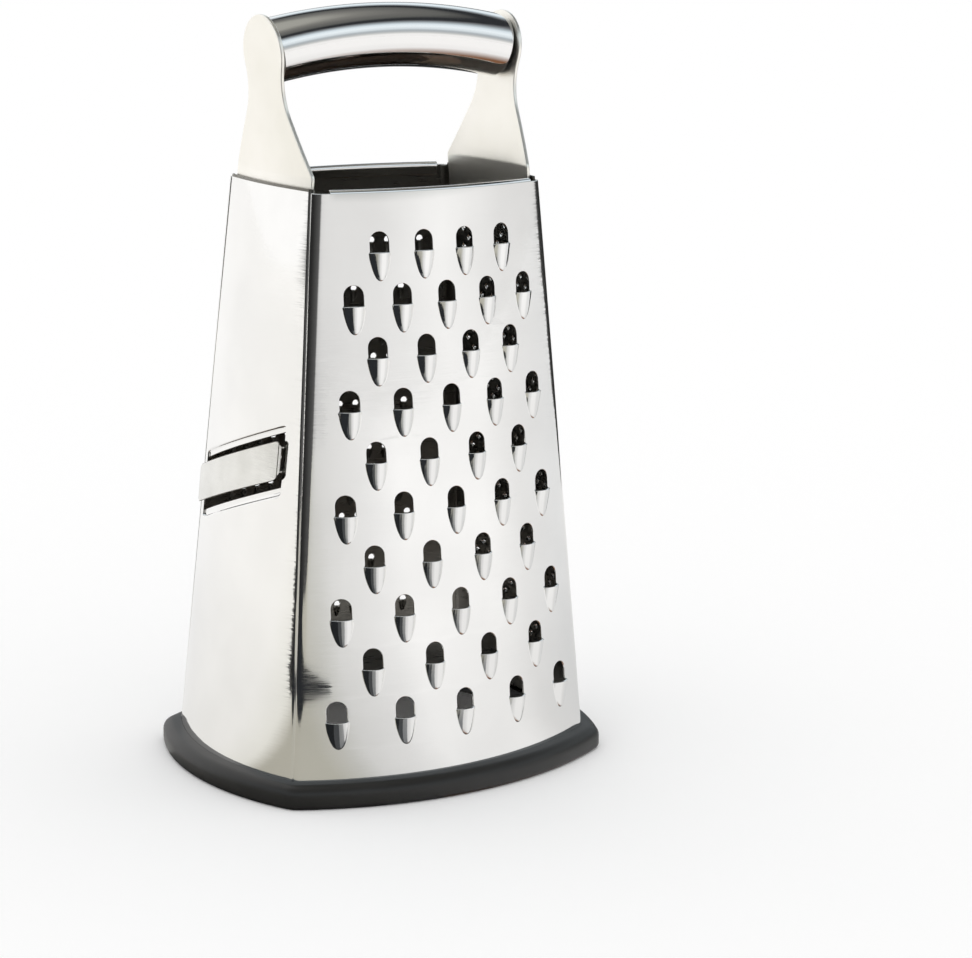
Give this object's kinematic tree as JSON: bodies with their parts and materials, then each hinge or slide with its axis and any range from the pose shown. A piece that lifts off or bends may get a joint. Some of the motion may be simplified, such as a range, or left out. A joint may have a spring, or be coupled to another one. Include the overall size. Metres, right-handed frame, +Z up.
{
  "type": "box grater",
  "caption": "Four-sided tapered box grater with coarse, medium, star and slicing walls, an arched tube handle between two uprights and a soft base ring.",
  "frame": {"origin": "middle of the base, on the surface that the grater stands on", "axes": "+X along the width towards the star-punched wall, -Y out of the coarse wall, +Z up towards the handle"},
  "size_m": [0.1438, 0.1208, 0.2514],
  "materials": {
    "sheet_steel": "satin stainless sheet",
    "plate_steel": "satin stainless plate",
    "tube_steel": "polished stainless tube",
    "weld_metal": "fused stainless steel",
    "ring_rubber": "satin black rubber"
  },
  "bodies": {
    "root": {"front_panel": "sheet_steel", "rear_panel": "sheet_steel", "slicer_panel": "sheet_steel", "star_panel": "sheet_steel", "left_upright": "plate_steel", "right_upright": "plate_steel", "handle_tube": "tube_steel", "spot_welds": "weld_metal", "base_ring": "ring_rubber"}
  },
  "joints": []
}
